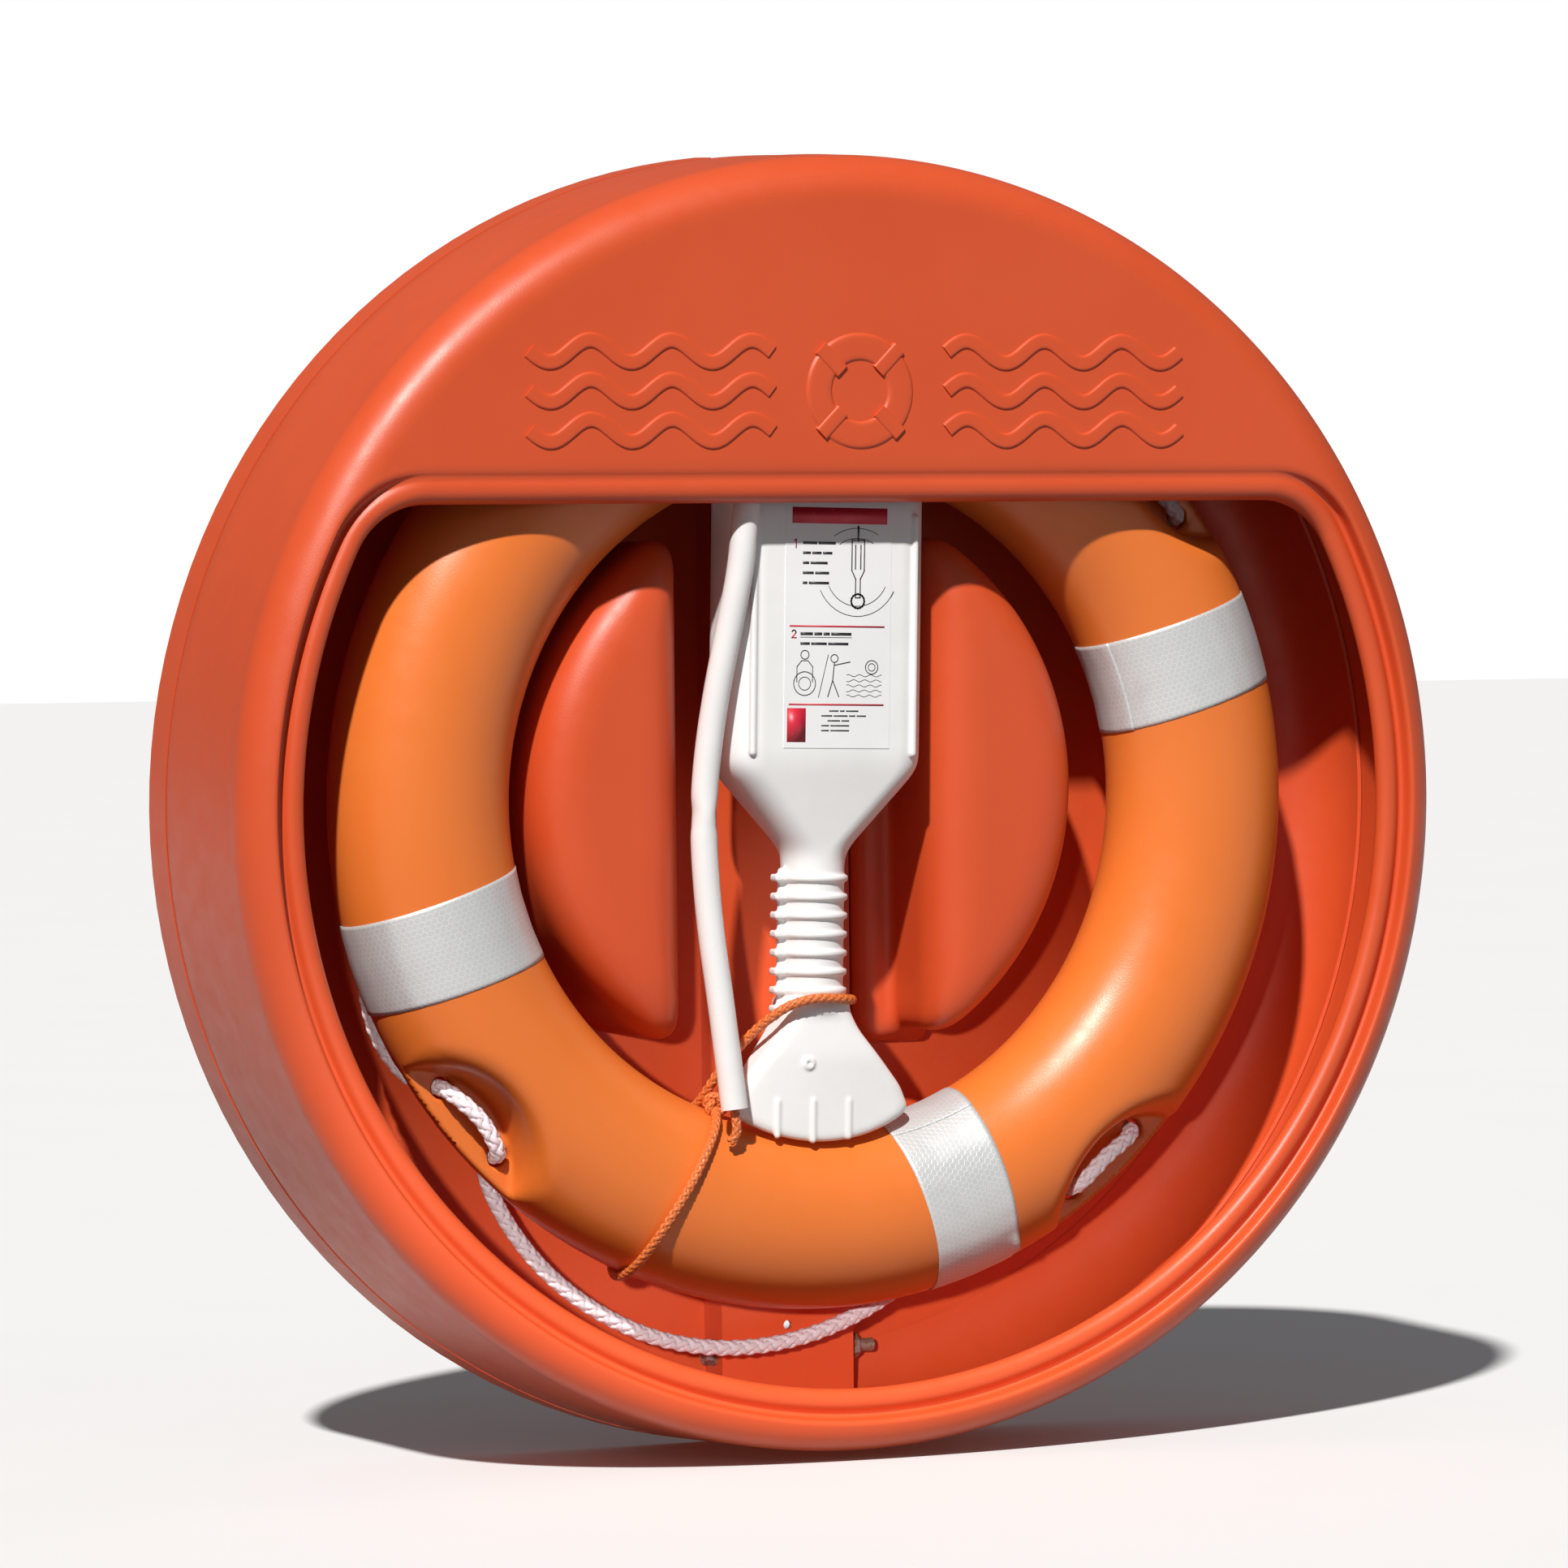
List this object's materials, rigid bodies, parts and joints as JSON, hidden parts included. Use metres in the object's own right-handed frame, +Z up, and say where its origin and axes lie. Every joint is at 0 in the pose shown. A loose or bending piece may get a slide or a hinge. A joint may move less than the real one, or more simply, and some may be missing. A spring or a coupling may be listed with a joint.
{
  "type": "lifebuoy housing with life ring and throwing line",
  "caption": "Round wall or post housing that holds a life ring and a hand-held throwing-line holder tied to the ring.",
  "frame": {"origin": "centre of the back face, in the mouth of the post channel", "axes": "+Z up, front faces -Y, +X to the right seen from the front"},
  "size_m": [0.78, 0.155, 0.7768],
  "materials": {
    "housing": "satin",
    "ring": "satin",
    "foam": "matte",
    "tape": "satin",
    "grab_rope": "matte",
    "throw_rope": "matte",
    "holder": "satin",
    "label": "satin",
    "sleeve": "satin",
    "steel": "matte"
  },
  "bodies": {
    "housing": {"front_cover": "housing", "back_shell": "housing", "left_ring_locator": "housing", "right_ring_locator": "housing", "post_bolts": "steel", "post_nuts": "steel", "post_washers": "steel"},
    "lifebuoy": {"ring_shell": "ring", "foam_core": "foam", "filling_plug": "ring", "reflective_tape_1": "tape", "reflective_tape_2": "tape", "reflective_tape_3": "tape", "reflective_tape_4": "tape", "grab_line": "grab_rope", "grab_line_joint_sleeve": "sleeve", "ring_lashing": "throw_rope"},
    "line_holder": {"holder_bottle": "holder", "holder_cap": "holder", "stored_line": "throw_rope", "instruction_label": "label", "line_sleeve": "sleeve", "throw_line_lead": "throw_rope", "handle_tie": "throw_rope"}
  },
  "joints": [
    {"name": "lifebuoy_swing", "type": "hinge", "parent": "housing", "child": "lifebuoy", "pos_m": [0, -0.088, 0.182], "axis": [-1, 0, 0], "range_deg": [0, 7.4], "deforming": ["grab_line"]},
    {"name": "line_holder_swing", "type": "hinge", "parent": "lifebuoy", "child": "line_holder", "pos_m": [0, -0.11, 0.15], "axis": [-1, 0, 0], "range_deg": [0, 50], "deforming": ["handle_tie", "throw_line_lead"]}
  ]
}
